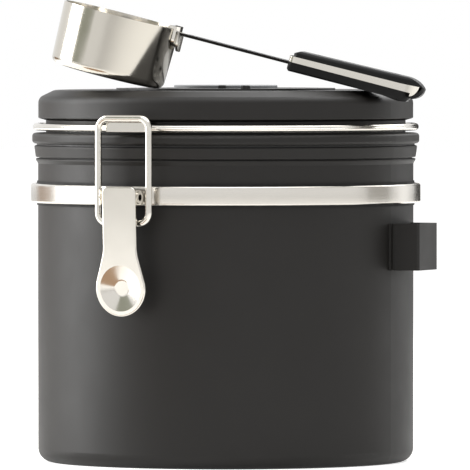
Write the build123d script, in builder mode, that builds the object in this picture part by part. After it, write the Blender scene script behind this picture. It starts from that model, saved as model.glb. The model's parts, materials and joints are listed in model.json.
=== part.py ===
from build123d import *
import math
import os

# An airtight coffee canister, in millimetres: coated steel can, hinged lid with a date dial and a
# gas valve, wire ring, toggle latch, side strap for the scoop, and the scoop lying on the lid.
# +Z is up, the latch faces -Y, the hinge is at +Y and the origin is the middle of the base.

# Can
can_radius = 61.4
can_wall = 0.8
base_corner = 4.5
base_groove_radius = 49.0
base_groove_width = 2.0
base_groove_depth = 0.4
neck_groove_depth = 0.4
neck_groove_width = 0.5
neck_groove_flare = 0.1
neck_inset_height = 1.5
bead_step = 0.7
bead_slope_height = 1.2
bead_height = 0.4
bead_corner = 0.2
rim_step = 1.25
rim_taper = 0.5
rim_height = 3.8
rim_corner = 0.5
rim_foot_corner = 0.3
rim_top = 103.4
rim_inset = 1.2

# Neck band, a channel strap that grips the can over a thin black liner
band_low = 84.75
band_height = 6.25
band_stand = 2.3
band_sheet = 0.7
band_grip_gap = 0.05
liner_thickness = 0.3
liner_margin = 0.8

# Lid shell
seam_gap = 0.6
lid_sheet = 0.8
flange_step = 1.9
flange_height = 3.45
flange_corner = 1.1
flange_lip = 1.4
flange_bore_inset = 3.2
shelf_thickness = 1.2
groove_inset = 2.6
groove_height = 4.85
groove_slope = 0.7
lid_side_inset = 0.1
lid_side_height = 6.6
lid_bevel_width = 5.3
lid_bevel_drop = 2.55
lid_crease = 2.6
lid_shoulder = 3.0

# Date dial in the well of the lid
dial_rise = 0.6
dial_thickness = 1.6
dial_side_gap = 0.3
dial_floor_gap = 0.1
day_radius = 35.8
month_radius = 26.8
dial_lip_width = 1.9
dial_lip_height = 0.7
cap_radius = 16.9
nub_width = 2.6
nub_length = 5.0
nub_height = 1.1
day_nub_radius = 31.4
day_nub_angle = -48.8
month_nub_radius = 21.6
month_nub_angle = -63.5

# One-way valve
cap_rise = 1.0
cap_top_sheet = 0.9
hub_radius = 15.0
hub_height = 0.85
stem_radius = 8.8
stem_bore = 5.0
stem_gap = 0.2
seat_thickness = 0.6
seat_hole_radius = 0.8
seat_hole_circle = 2.8
flap_radius = 6.5
flap_thickness = 0.5
flap_gap = 0.05
chamber_radius = 11.8
cap_foot_width = 2.0
vent_width = 2.0
vent_count = 4
filter_radius = 7.5
filter_thickness = 0.4

# Inner pan and gasket
pan_wall = 1.2
pan_rim_gap = 2.7
pan_drop = 2.8
pan_collar_height = 0.85
pan_post_radius = 34.0
pan_vent_radius = 1.1
pan_vent_circle = 3.6
pan_vent_count = 6
gasket_width = 2.2
gasket_height = 1.85
gasket_seat_gap = 0.05
gasket_side_gap = 0.1

# Wire ring, catch and hinge leaf
ring_wire = 2.35
ring_step = 0.53
ring_lift = 0.85
ring_clearance = 0.05
tab_sheet = 0.75
catch_width = 15.3
catch_gap = 0.3
catch_lip = 3.1
catch_corner = 0.6
leaf_width = 7.8

# Hinge behind the can
hinge_step = 5.3
hinge_z = 98.6
pin_radius = 1.2
pin_clearance = 0.04
knuckle_radius = 2.2
knuckle_gap = 0.3
hinge_half_width = 9.2
hinge_plate = 0.8
pin_head_radius = 1.9
pin_head_height = 0.8
rivet_radius = 1.1
rivet_head_radius = 1.9
rivet_head_height = 0.6
rivet_head_taper = 20.0
rivet_spacing = 13.0

# Toggle latch
lever_pivot_step = 6.1
lever_pivot_z = 87.4
lever_tilt = 2.4
lever_sheet = 0.9
lever_plate_gap = 1.9
lever_width = 12.3
lever_top = 3.6
lever_disc_radius = 9.1
lever_disc_drop = 29.1
lever_neck_drop = 17.5
lever_neck_fillet = 14.0
lever_edge = 0.5
lever_flare = 20.0
dish_radius = 7.4
dish_depth = 1.2
dish_flat_radius = 2.6
dish_bend = 2.0
ear_radius = 2.4
ear_sheet = 0.8
bracket_gap = 0.1
bracket_ear_radius = 1.8
bracket_top_drop = 1.2
pivot_radius = 1.3
pivot_bore = 1.05
pivot_clearance = 0.04
pivot_head_radius = 2.0
pivot_head = 0.3
bail_wire_size = 2.25
bail_width = 20.9
bail_corner = 3.4
bail_low_drop = 8.3
bail_offset = 0.7
bail_high_z = 112.7
keeper_width = 8.0
keeper_sheet = 0.75
keeper_clearance = 0.05

# Side strap that holds the scoop
loop_angle = 7.9
loop_low = 63.2
loop_height = 15.2
loop_width = 17.4
loop_reach = 9.2
loop_sheet = 1.0
loop_corner = 0.8
loop_flange = 1.3
loop_back_sheet = 0.8
loop_gap = 0.05

# Scoop, in its own frame: u along the handle, v up the cup's axis, w across
cup_height = 20.4
cup_base_radius = 18.75
cup_flare = 0.55
cup_corner = 2.5
cup_wall = 0.6
scoop_heading = 21.4
heel_radius = 35.0
heel_angle = -100.5
rest_gap = 0.06
strip_thickness = 0.9
strip_width = 8.0
strip_top = 19.65
strip_end = 94.0
tab_width = 12.0
tab_drop = 5.7
tab_thickness = 0.9
tab_gap = 0.05
tab_lip = 1.5
tab_rounding = 2.4
root_width = 8.6
root_drop = 7.0
root_thickness = 0.8
root_rounding = 3.0
grip_start = 56.85
grip_end = 101.95
grip_width = 11.0
grip_pad_width = 10.0
under_start = 16.6
under_knee = 89.0
under_knee_drop = 2.9
under_end = 16.1
under_tip = 97.8
under_chamfer = 0.8
frame_start_thickness = 1.9
frame_end_thickness = 2.3
pad_start_thickness = 2.2
pad_end_thickness = 2.5
tip_rise = 2.6
tip_length = 7.6
tip_edge = 0.5
tip_drop = 1.1
tip_seat_gap = 0.05
pad_inset = 1.2
nose_wrap = 0.9
nose_drop = 0.7
pad_rounding = 1.3
grip_rivet_radius = 1.2
grip_rivet_gap = 0.02
grip_rivet_inset = 9.0
grip_rivet_spacing = 26.0
grip_start_rounding = 0.2
grip_tip_rounding = 0.45

# Half-width of the window in which a sketch corner is looked up
pick = 0.01

# Radii that follow the can's
neck_groove_radius = can_radius - neck_groove_depth
bead_radius = can_radius + bead_step
rim_radius = can_radius + rim_step
rim_foot_radius = rim_radius - rim_taper
rim_bore_radius = can_radius - rim_inset
flange_radius = can_radius + flange_step
flange_bore_radius = can_radius - flange_bore_inset
groove_radius = can_radius - groove_inset
lid_side_radius = can_radius - lid_side_inset
lid_bevel_radius = lid_side_radius - lid_bevel_width
pan_radius = rim_bore_radius - pan_rim_gap
ring_centre_radius = can_radius + ring_step
cup_mouth_radius = cup_base_radius + cup_flare
hinge_y = can_radius + hinge_step
lever_pivot_y = -can_radius - lever_pivot_step

# Heights worked out from the sizes above
rim_low = rim_top - rim_height
bead_top = rim_low - neck_groove_width
bead_low = bead_top - bead_height
neck_top = bead_low - bead_slope_height
lid_low = rim_top + seam_gap
groove_low = lid_low + flange_height
groove_top = groove_low + groove_height
lid_side_top = groove_top + lid_side_height
lid_flat = lid_side_top + lid_bevel_drop
dial_top = lid_flat + dial_rise
dial_low = dial_top - dial_thickness
well_floor = dial_low - dial_floor_gap
well_radius = day_radius + dial_side_gap
gasket_outer = flange_radius - flange_lip - gasket_side_gap
gasket_inner = gasket_outer - gasket_width
gasket_low = rim_top + gasket_seat_gap
gasket_top = gasket_low + gasket_height
ring_z = groove_low + ring_lift + ring_wire / 2
liner_inner = can_radius + band_grip_gap
liner_outer = liner_inner + liner_thickness
band_inner = liner_outer + band_grip_gap
band_outer = can_radius + band_stand
band_high = band_low + band_height
hinge_plate_y = hinge_y - knuckle_radius
bail_y = lever_pivot_y + bail_offset
bail_low_z = lever_pivot_z - bail_low_drop
ear_outer = lever_width / 2
ear_inner = ear_outer - ear_sheet
bracket_outer = ear_inner - bracket_gap
bracket_inner = bracket_outer - ear_sheet
bracket_plate_top = band_high + knuckle_gap
rivet_places = [
    (grip_start + grip_rivet_inset, 0),
    (grip_start + grip_rivet_inset + grip_rivet_spacing, 0),
]

# Section plane of the two rivets behind the can, looking outward
rivet_plane = Plane(origin=(0, 0, band_low + band_height / 2), x_dir=(1, 0, 0), z_dir=(0, 1, 0))

os.makedirs("parts", exist_ok=True)


# Can shell: one revolved sheet from the flat base to the rolled rim
with BuildPart() as can_shell:
    with BuildSketch(Plane.XZ):
        with BuildLine():
            Line((0, 0), (can_radius - base_corner, 0))
            CenterArc((can_radius - base_corner, base_corner), base_corner, -90, 90)
            Polyline(
                (can_radius, base_corner),
                (can_radius, neck_top),
                (bead_radius, bead_low),
                (bead_radius, bead_top),
                (neck_groove_radius, bead_top + neck_groove_flare),
                (neck_groove_radius, rim_low - neck_groove_flare),
                (rim_foot_radius, rim_low),
                (rim_radius, rim_top),
                (rim_bore_radius, rim_top),
                (rim_bore_radius, neck_top),
                (can_radius - can_wall, neck_top - neck_inset_height),
                (can_radius - can_wall, base_corner),
            )
            CenterArc((can_radius - base_corner, base_corner), base_corner - can_wall, -90, 90)
            Polyline((can_radius - base_corner, can_wall), (0, can_wall), (0, 0))
        make_face()
        for height, corner in (
            (rim_top, rim_corner),
            (rim_low, rim_foot_corner),
            (bead_top, bead_corner),
        ):
            level = vertices().filter_by_position(Axis.Y, height - pick, height + pick)
            fillet(level.sort_by(Axis.X)[-1:], corner)
    revolve(axis=Axis.Z)
    with BuildSketch(Plane.XY):
        Circle(base_groove_radius + base_groove_width / 2)
        Circle(base_groove_radius - base_groove_width / 2, mode=Mode.SUBTRACT)
    extrude(amount=base_groove_depth, mode=Mode.SUBTRACT)
can_shell.part.label = "can_shell"
export_step(can_shell.part, "parts/can_shell.step")


# Neck band: a channel section with its two edges turned in against the can
with BuildPart() as neck_band:
    with BuildSketch(Plane.XZ):
        with BuildLine():
            Polyline(
                (band_inner, band_low),
                (band_outer, band_low),
                (band_outer, band_high),
                (band_inner, band_high),
                (band_inner, band_high - band_sheet),
                (band_outer - band_sheet, band_high - band_sheet),
                (band_outer - band_sheet, band_low + band_sheet),
                (band_inner, band_low + band_sheet),
                close=True,
            )
        make_face()
        fillet(vertices().sort_by(Axis.X)[-2:], band_sheet)
    revolve(axis=Axis.Z)
    with BuildSketch(rivet_plane):
        with GridLocations(rivet_spacing, 0, 2, 1):
            Circle(rivet_radius)
    extrude(amount=hinge_y, mode=Mode.SUBTRACT)
neck_band.part.label = "neck_band"
export_step(neck_band.part, "parts/neck_band.step")


# Liner: a thin black strip between the can and the band, showing as a line above and below it
with BuildPart() as band_liner:
    with BuildSketch(Plane.XY.offset(band_low - liner_margin)):
        Circle(liner_outer)
        Circle(liner_inner, mode=Mode.SUBTRACT)
    extrude(amount=band_height + 2 * liner_margin)
band_liner.part.label = "band_liner"
export_step(band_liner.part, "parts/band_liner.step")


# Lid shell: top, bevelled shoulder, groove for the ring and rolled flange, with the dial's well
with BuildPart() as lid_shell:
    with BuildSketch(Plane.XZ):
        with BuildLine():
            Polyline(
                (stem_radius + stem_gap, well_floor),
                (well_radius, well_floor),
                (well_radius, lid_flat),
                (lid_bevel_radius, lid_flat),
                (lid_side_radius, lid_side_top),
                (lid_side_radius, groove_top),
                (groove_radius, groove_top - groove_slope),
                (groove_radius, groove_low),
                (flange_radius, groove_low),
                (flange_radius, lid_low),
                (gasket_outer + gasket_side_gap, lid_low),
                (gasket_outer + gasket_side_gap, gasket_top + gasket_seat_gap),
                (gasket_inner - gasket_side_gap, gasket_top + gasket_seat_gap),
                (gasket_inner - gasket_side_gap, lid_low),
                (flange_bore_radius, lid_low),
                (flange_bore_radius, groove_low - shelf_thickness),
                (groove_radius - lid_sheet, groove_low - shelf_thickness),
                (groove_radius - lid_sheet, groove_top - groove_slope + lid_sheet),
                (lid_side_radius - lid_sheet, groove_top + lid_sheet),
                (lid_side_radius - lid_sheet, lid_side_top - lid_sheet / 2),
                (lid_bevel_radius - lid_sheet / 4, lid_flat - lid_sheet),
                (well_radius + lid_sheet, lid_flat - lid_sheet),
                (well_radius + lid_sheet, well_floor - lid_sheet),
                (stem_radius + stem_gap, well_floor - lid_sheet),
                close=True,
            )
        make_face()
        fillet(
            vertices().filter_by_position(Axis.X, flange_radius - pick, flange_radius + pick),
            flange_corner,
        )
        fillet(
            vertices().filter_by_position(Axis.Y, lid_side_top - pick, lid_side_top + pick),
            lid_crease,
        )
        inner_crease = lid_side_top - lid_sheet / 2
        fillet(
            vertices().filter_by_position(Axis.Y, inner_crease - pick, inner_crease + pick),
            lid_crease - lid_sheet,
        )
        fillet(
            vertices().filter_by_position(Axis.Y, lid_flat - pick, lid_flat + pick).sort_by(Axis.X)[-1:],
            lid_shoulder,
        )
        fillet(
            vertices().filter_by_position(Axis.Y, groove_top - pick, groove_top + pick).sort_by(Axis.X)[-1:],
            lid_sheet / 2,
        )
    revolve(axis=Axis.Z)
lid_shell.part.label = "lid_shell"
export_step(lid_shell.part, "parts/lid_shell.step")


# Inner pan: the plug that reaches into the mouth, with its collar, posts and vent holes
pan_low = rim_top - pan_drop
pan_collar_low = gasket_top
with BuildPart() as lid_inner_pan:
    with BuildSketch(Plane.XZ):
        with BuildLine():
            Polyline(
                (0, pan_low),
                (pan_radius, pan_low),
                (pan_radius, pan_collar_low),
                (flange_bore_radius - gasket_side_gap, pan_collar_low),
                (flange_bore_radius - gasket_side_gap, pan_collar_low + pan_collar_height),
                (pan_radius - pan_wall, pan_collar_low + pan_collar_height),
                (pan_radius - pan_wall, pan_low + pan_wall),
                (pan_post_radius + pan_wall, pan_low + pan_wall),
                (pan_post_radius + pan_wall, well_floor - lid_sheet),
                (pan_post_radius, well_floor - lid_sheet),
                (pan_post_radius, pan_low + pan_wall),
                (0, pan_low + pan_wall),
                close=True,
            )
        make_face()
    revolve(axis=Axis.Z)
    with BuildSketch(Plane.XY.offset(pan_low)):
        with PolarLocations(pan_vent_circle, pan_vent_count):
            Circle(pan_vent_radius)
    extrude(amount=pan_wall, mode=Mode.SUBTRACT)
    fillet(edges().group_by(Axis.Z)[0].sort_by(SortBy.RADIUS)[-1:], pan_wall / 2)
lid_inner_pan.part.label = "lid_inner_pan"
export_step(lid_inner_pan.part, "parts/lid_inner_pan.step")


# Gasket between the flange of the lid and the rim of the can
with BuildPart() as lid_gasket:
    with BuildSketch(Plane.XY.offset(gasket_low)):
        Circle(gasket_outer)
        Circle(gasket_inner, mode=Mode.SUBTRACT)
    extrude(amount=gasket_height)
lid_gasket.part.label = "lid_gasket"
export_step(lid_gasket.part, "parts/lid_gasket.step")


# Wire ring that lies in the groove of the lid
with BuildPart() as lid_ring:
    with BuildSketch(Plane.XZ):
        with Locations((ring_centre_radius, ring_z)):
            Circle(ring_wire / 2)
    revolve(axis=Axis.Z)
lid_ring.part.label = "lid_ring"
export_step(lid_ring.part, "parts/lid_ring.step")

ring_top = ring_z + ring_wire / 2 + ring_clearance
tab_top = ring_top + tab_sheet
tab_inner = groove_radius + ring_clearance


# Catch plate: a sheet folded over the ring, its front face under the top bar of the bail
catch_front = -bail_y - bail_wire_size / 2 - catch_gap
with BuildPart() as catch_plate:
    with BuildSketch(Plane.YZ):
        with BuildLine():
            Polyline(
                (-tab_inner, ring_top),
                (-tab_inner, tab_top),
                (-catch_front, tab_top),
                (-catch_front, tab_top - catch_lip),
                (-catch_front + tab_sheet, tab_top - catch_lip),
                (-catch_front + tab_sheet, ring_top),
                close=True,
            )
        make_face()
        fillet(vertices().sort_by(Axis.X)[:1] + vertices().sort_by(Axis.X)[1:2], tab_sheet / 4)
    extrude(amount=catch_width / 2, both=True)
    fillet(edges().filter_by(Axis.Z).group_by(Axis.Y)[0], catch_corner)
catch_plate.part.label = "catch_plate"
export_step(catch_plate.part, "parts/catch_plate.step")


# Hinge leaf: a sheet folded over the ring at the back, rolled round the pin at its lower end
with BuildPart() as hinge_leaf:
    with BuildSketch(Plane.YZ):
        with BuildLine():
            Polyline(
                (tab_inner, ring_top),
                (tab_inner, tab_top),
                (hinge_plate_y + hinge_plate, tab_top),
                (hinge_plate_y + hinge_plate, hinge_z),
                (hinge_plate_y, hinge_z),
                (hinge_plate_y, ring_top),
                close=True,
            )
        make_face()
        with Locations((hinge_y, hinge_z)):
            Circle(knuckle_radius)
            Circle(pin_radius + pin_clearance, mode=Mode.SUBTRACT)
    extrude(amount=leaf_width / 2, both=True)
hinge_leaf.part.label = "hinge_leaf"
export_step(hinge_leaf.part, "parts/hinge_leaf.step")


# Rear bracket: hugs the band, rises to two knuckles beside the leaf
with BuildPart() as rear_hinge_bracket:
    with BuildSketch(Plane.YZ):
        with Locations((hinge_y, hinge_z)):
            Circle(knuckle_radius)
        with BuildLine():
            Polyline(
                (can_radius, band_low),
                (hinge_plate_y + hinge_plate, band_low),
                (hinge_plate_y + hinge_plate, hinge_z),
                (hinge_plate_y, hinge_z),
                (hinge_plate_y, bracket_plate_top),
                (can_radius, bracket_plate_top),
                close=True,
            )
        make_face()
        with Locations((hinge_y, hinge_z)):
            Circle(pin_radius + pin_clearance, mode=Mode.SUBTRACT)
    extrude(amount=hinge_half_width, both=True)
    with BuildSketch(Plane.XY.offset(band_low)):
        Circle(band_outer + band_grip_gap)
    extrude(amount=bracket_plate_top - band_low, mode=Mode.SUBTRACT)
    leaf_slot_low = hinge_z - knuckle_radius - knuckle_gap
    with BuildSketch(Plane.YZ):
        with BuildLine():
            Polyline(
                (can_radius, leaf_slot_low),
                (hinge_y + 2 * knuckle_radius, leaf_slot_low),
                (hinge_y + 2 * knuckle_radius, hinge_z + 2 * knuckle_radius),
                (can_radius, hinge_z + 2 * knuckle_radius),
                close=True,
            )
        make_face()
    extrude(amount=leaf_width / 2 + knuckle_gap, both=True, mode=Mode.SUBTRACT)
    with BuildSketch(rivet_plane):
        with GridLocations(rivet_spacing, 0, 2, 1):
            Circle(rivet_radius)
    extrude(amount=hinge_y, mode=Mode.SUBTRACT)
rear_hinge_bracket.part.label = "rear_hinge_bracket"
export_step(rear_hinge_bracket.part, "parts/rear_hinge_bracket.step")


# Hinge pin with a head at each end
with BuildPart() as hinge_pin:
    with BuildSketch(Plane.YZ):
        with Locations((hinge_y, hinge_z)):
            Circle(pin_radius)
    extrude(amount=hinge_half_width, both=True)
    for side in (-1, 1):
        with BuildSketch(Plane.YZ.offset(side * hinge_half_width)):
            with Locations((hinge_y, hinge_z)):
                Circle(pin_head_radius)
        extrude(amount=side * pin_head_height)
hinge_pin.part.label = "hinge_pin"
export_step(hinge_pin.part, "parts/hinge_pin.step")


# Two rivets that hold the rear bracket on the band
rivet_tail_y = band_outer - 2 * band_sheet
rivet_seat_y = hinge_plate_y + hinge_plate
with BuildPart() as band_rivets:
    with BuildSketch(rivet_plane.offset(rivet_tail_y)):
        with GridLocations(rivet_spacing, 0, 2, 1):
            Circle(rivet_radius)
    extrude(amount=rivet_seat_y - rivet_tail_y)
    with BuildSketch(rivet_plane.offset(rivet_seat_y)):
        with GridLocations(rivet_spacing, 0, 2, 1):
            Circle(rivet_head_radius)
    extrude(amount=rivet_head_height, taper=rivet_head_taper)
band_rivets.part.label = "band_rivets"
export_step(band_rivets.part, "parts/band_rivets.step")


# Valve hub: stem through the lid with a perforated seat on top, and the flange the dial turns round
hub_low = dial_low
hub_top = hub_low + hub_height
with BuildPart() as valve_body:
    with BuildSketch(Plane.XZ):
        with BuildLine():
            Polyline(
                (stem_bore, pan_low + pan_wall),
                (stem_radius, pan_low + pan_wall),
                (stem_radius, hub_low),
                (hub_radius, hub_low),
                (hub_radius, hub_top),
                (0, hub_top),
                (0, hub_top - seat_thickness),
                (stem_bore, hub_top - seat_thickness),
                close=True,
            )
        make_face()
    revolve(axis=Axis.Z)
    with BuildSketch(Plane.XY.offset(hub_top - seat_thickness)):
        with PolarLocations(seat_hole_circle, vent_count):
            Circle(seat_hole_radius)
    extrude(amount=seat_thickness, mode=Mode.SUBTRACT)
valve_body.part.label = "valve_body"
export_step(valve_body.part, "parts/valve_body.step")


# Silicone flap that lifts to let gas out
with BuildPart() as valve_flap:
    with BuildSketch(Plane.XY.offset(hub_top + flap_gap)):
        Circle(flap_radius)
    extrude(amount=flap_thickness)
valve_flap.part.label = "valve_flap"
export_step(valve_flap.part, "parts/valve_flap.step")


# Filter disc under the vent holes of the pan
with BuildPart() as valve_filter:
    with BuildSketch(Plane.XY.offset(pan_low - filter_thickness)):
        Circle(filter_radius)
    extrude(amount=filter_thickness)
valve_filter.part.label = "valve_filter"
export_step(valve_filter.part, "parts/valve_filter.step")


# Grey cap over the valve, standing on a slotted foot
cap_top = dial_top + cap_rise
cap_chamber_top = cap_top - cap_top_sheet
cap_skirt_low = dial_low + dial_lip_height + dial_floor_gap
month_bore = cap_radius + dial_side_gap
with BuildPart() as valve_cap:
    with BuildSketch(Plane.XZ):
        with BuildLine():
            Polyline(
                (0, cap_chamber_top),
                (chamber_radius, cap_chamber_top),
                (chamber_radius, hub_top),
                (chamber_radius + cap_foot_width, hub_top),
                (chamber_radius + cap_foot_width, cap_chamber_top),
                (hub_radius + dial_side_gap, cap_chamber_top),
                (hub_radius + dial_side_gap, cap_skirt_low),
                (cap_radius, cap_skirt_low),
                (cap_radius, cap_top),
                (0, cap_top),
                close=True,
            )
        make_face()
    revolve(axis=Axis.Z)
    with BuildSketch(Plane.XY.offset(hub_top)):
        with PolarLocations(0, vent_count):
            Rectangle(2 * (chamber_radius + 2 * cap_foot_width), vent_width)
        Circle(chamber_radius / 2, mode=Mode.SUBTRACT)
        Circle(hub_radius, mode=Mode.INTERSECT)
    extrude(amount=(cap_chamber_top - hub_top) / 2, mode=Mode.SUBTRACT)
    fillet(edges().group_by(Axis.Z)[-1], cap_rise / 3)
valve_cap.part.label = "valve_cap"
export_step(valve_cap.part, "parts/valve_cap.step")


# Date dial: the outer ring counts days, the inner ring months, each with a nub to turn it
lip_radius_day = month_radius + dial_side_gap - dial_lip_width
month_body_radius = lip_radius_day - dial_side_gap
lip_radius_month = month_bore - dial_lip_width
overhang_low = dial_low + dial_lip_height + dial_floor_gap
with BuildPart() as day_dial:
    with BuildSketch(Plane.XZ):
        with BuildLine():
            Polyline(
                (lip_radius_day, dial_low),
                (day_radius, dial_low),
                (day_radius, dial_top),
                (month_radius + dial_side_gap, dial_top),
                (month_radius + dial_side_gap, dial_low + dial_lip_height),
                (lip_radius_day, dial_low + dial_lip_height),
                close=True,
            )
        make_face()
    revolve(axis=Axis.Z)
    with BuildSketch(Plane.XY.offset(dial_top)):
        with PolarLocations(day_nub_radius, 1, start_angle=day_nub_angle):
            SlotOverall(nub_length, nub_width)
    extrude(amount=nub_height)
    fillet(edges().group_by(Axis.Z)[-1], nub_height / 3)
day_dial.part.label = "day_dial"
export_step(day_dial.part, "parts/day_dial.step")

with BuildPart() as month_dial:
    with BuildSketch(Plane.XZ):
        with BuildLine():
            Polyline(
                (lip_radius_month, dial_low),
                (month_body_radius, dial_low),
                (month_body_radius, overhang_low),
                (month_radius, overhang_low),
                (month_radius, dial_top),
                (month_bore, dial_top),
                (month_bore, dial_low + dial_lip_height),
                (lip_radius_month, dial_low + dial_lip_height),
                close=True,
            )
        make_face()
    revolve(axis=Axis.Z)
    with BuildSketch(Plane.XY.offset(dial_top)):
        with PolarLocations(month_nub_radius, 1, start_angle=month_nub_angle):
            SlotOverall(nub_length, nub_width)
    extrude(amount=nub_height)
    fillet(edges().group_by(Axis.Z)[-1], nub_height / 3)
month_dial.part.label = "month_dial"
export_step(month_dial.part, "parts/month_dial.step")


# Latch bracket: a base on the band and two ears for the lever's pivot
bracket_base_top = band_high - 2 * bracket_top_drop
with BuildPart() as latch_bracket:
    with BuildSketch(Plane.XY.offset(band_low)):
        Circle(band_outer + band_grip_gap + ear_sheet)
        Circle(band_outer + band_grip_gap, mode=Mode.SUBTRACT)
        with Locations((0, -band_outer)):
            Rectangle(2 * bracket_outer, 2 * bracket_outer, mode=Mode.INTERSECT)
    extrude(amount=bracket_base_top - band_low)
    for side in (-1, 1):
        with BuildSketch(Plane.YZ.offset(side * bracket_inner)):
            with Locations((lever_pivot_y, lever_pivot_z)):
                Circle(bracket_ear_radius)
            with BuildLine():
                Polyline(
                    (lever_pivot_y, lever_pivot_z - bracket_ear_radius),
                    (lever_pivot_y, lever_pivot_z + bracket_ear_radius),
                    (-band_outer - 2 * band_grip_gap, lever_pivot_z + bracket_ear_radius),
                    (-band_outer - 2 * band_grip_gap, band_low),
                    (lever_pivot_y + bracket_ear_radius, band_low),
                    close=True,
                )
            make_face()
            with Locations((lever_pivot_y, lever_pivot_z)):
                Circle(pivot_radius + pivot_clearance, mode=Mode.SUBTRACT)
        extrude(amount=side * ear_sheet)
latch_bracket.part.label = "latch_bracket"
export_step(latch_bracket.part, "parts/latch_bracket.step")


# Hollow pivot pin with a rolled head at each end
with BuildPart() as latch_pivot_pin:
    with BuildSketch(Plane.YZ):
        with Locations((lever_pivot_y, lever_pivot_z)):
            Circle(pivot_radius)
    extrude(amount=ear_outer + pivot_clearance, both=True)
    for side in (-1, 1):
        with BuildSketch(Plane.YZ.offset(side * (ear_outer + pivot_clearance))):
            with Locations((lever_pivot_y, lever_pivot_z)):
                Circle(pivot_head_radius)
        extrude(amount=side * pivot_head)
    with BuildSketch(Plane.YZ):
        with Locations((lever_pivot_y, lever_pivot_z)):
            Circle(pivot_bore)
    extrude(amount=ear_outer + 2 * pivot_head, both=True, mode=Mode.SUBTRACT)
latch_pivot_pin.part.label = "latch_pivot_pin"
export_step(latch_pivot_pin.part, "parts/latch_pivot_pin.step")


# Lever: face plate with a thumb dish, and two ears on the pivot
tilt = math.radians(lever_tilt)
lever_out = Vector(0, -math.cos(tilt), -math.sin(tilt))
lever_up = Vector(0, -math.sin(tilt), math.cos(tilt))
lever_pivot = Vector(0, lever_pivot_y, lever_pivot_z)
lever_face = Plane(origin=lever_pivot + lever_out * lever_plate_gap, x_dir=(1, 0, 0), z_dir=lever_out)
lever_side = Plane(origin=lever_pivot, x_dir=lever_out, z_dir=(1, 0, 0))
dish_centre = lever_pivot + lever_out * lever_plate_gap - lever_up * lever_disc_drop
dish_section = Plane(origin=dish_centre, x_dir=(1, 0, 0), z_dir=lever_up * -1)
flare = math.radians(lever_flare)
flare_x = lever_disc_radius * math.cos(flare)
flare_y = -lever_disc_drop + lever_disc_radius * math.sin(flare)
with BuildPart() as latch_lever:
    with BuildSketch(lever_face):
        with BuildLine():
            Polyline(
                (ear_outer, lever_top),
                (-ear_outer, lever_top),
                (-ear_outer, -lever_neck_drop),
                (-flare_x, flare_y),
                (0, -lever_disc_drop),
                (flare_x, flare_y),
                (ear_outer, -lever_neck_drop),
                close=True,
            )
        make_face()
        neck_points = vertices().filter_by_position(
            Axis.Y, -lever_neck_drop - pick, -lever_neck_drop + pick
        )
        fillet(neck_points, lever_neck_fillet)
        fillet(vertices().group_by(Axis.Y)[-1], 2 * lever_sheet)
        with Locations((0, -lever_disc_drop)):
            Circle(lever_disc_radius)
            Circle(dish_radius, mode=Mode.SUBTRACT)
    extrude(amount=lever_sheet)
    plate_edges = faces().sort_by(SortBy.AREA)[-2:].sort_by(Axis.Y)[0].outer_wire().edges()
    fillet(plate_edges, lever_edge)
    with BuildSketch(dish_section):
        with BuildLine():
            Polyline(
                (0, lever_sheet - dish_depth),
                (dish_flat_radius, lever_sheet - dish_depth),
                (dish_radius, lever_sheet),
                (dish_radius, 0),
                (dish_flat_radius, -dish_depth),
                (0, -dish_depth),
                close=True,
            )
        make_face()
        fillet(
            vertices().filter_by_position(Axis.X, dish_flat_radius - pick, dish_flat_radius + pick),
            dish_bend,
        )
    revolve(axis=Axis(origin=dish_centre, direction=lever_out))
    for side in (-1, 1):
        with BuildSketch(lever_side.offset(side * ear_inner)):
            Circle(ear_radius)
            with Locations((lever_plate_gap / 2 + lever_sheet / 4, 0)):
                Rectangle(lever_plate_gap + lever_sheet / 2, 2 * ear_radius)
            Circle(pivot_radius + pivot_clearance, mode=Mode.SUBTRACT)
        extrude(amount=side * ear_sheet)
latch_lever.part.label = "latch_lever"
export_step(latch_lever.part, "parts/latch_lever.step")


# Keeper: a saddle welded behind the lever, round the lower bar of the bail
bail_low = Vector(0, bail_y, bail_low_z)
bar_offset = bail_low - lever_pivot
bar_out = bar_offset.dot(lever_out)
bar_up = bar_offset.dot(lever_up)
saddle_radius = bail_wire_size / 2 + keeper_clearance + keeper_sheet
with BuildPart() as bail_keeper:
    with BuildSketch(lever_side):
        with Locations((bar_out, -bar_up)):
            Circle(saddle_radius)
        with Locations(((bar_out + lever_plate_gap) / 2, -bar_up)):
            Rectangle(lever_plate_gap - bar_out, 2 * saddle_radius)
        with Locations((bar_out, -bar_up)):
            Circle(bail_wire_size / 2 + keeper_clearance, mode=Mode.SUBTRACT)
    extrude(amount=keeper_width / 2, both=True)
bail_keeper.part.label = "bail_keeper"
export_step(bail_keeper.part, "parts/bail_keeper.step")


# Bail: a closed wire rectangle in an upright plane
bail_x = (bail_width - bail_wire_size) / 2
bail_plane = Plane(origin=(0, bail_y, 0), x_dir=(1, 0, 0), z_dir=(0, -1, 0))
with BuildPart() as bail_wire:
    with BuildLine(bail_plane) as bail_path:
        FilletPolyline(
            (bail_x, bail_high_z),
            (bail_x, bail_low_z),
            (-bail_x, bail_low_z),
            (-bail_x, bail_high_z),
            radius=bail_corner,
            close=True,
        )
    with BuildSketch(Plane(origin=bail_path.line @ 0, z_dir=bail_path.line % 0)):
        Circle(bail_wire_size / 2)
    sweep()
bail_wire.part.label = "bail_wire"
export_step(bail_wire.part, "parts/bail_wire.step")


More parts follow.
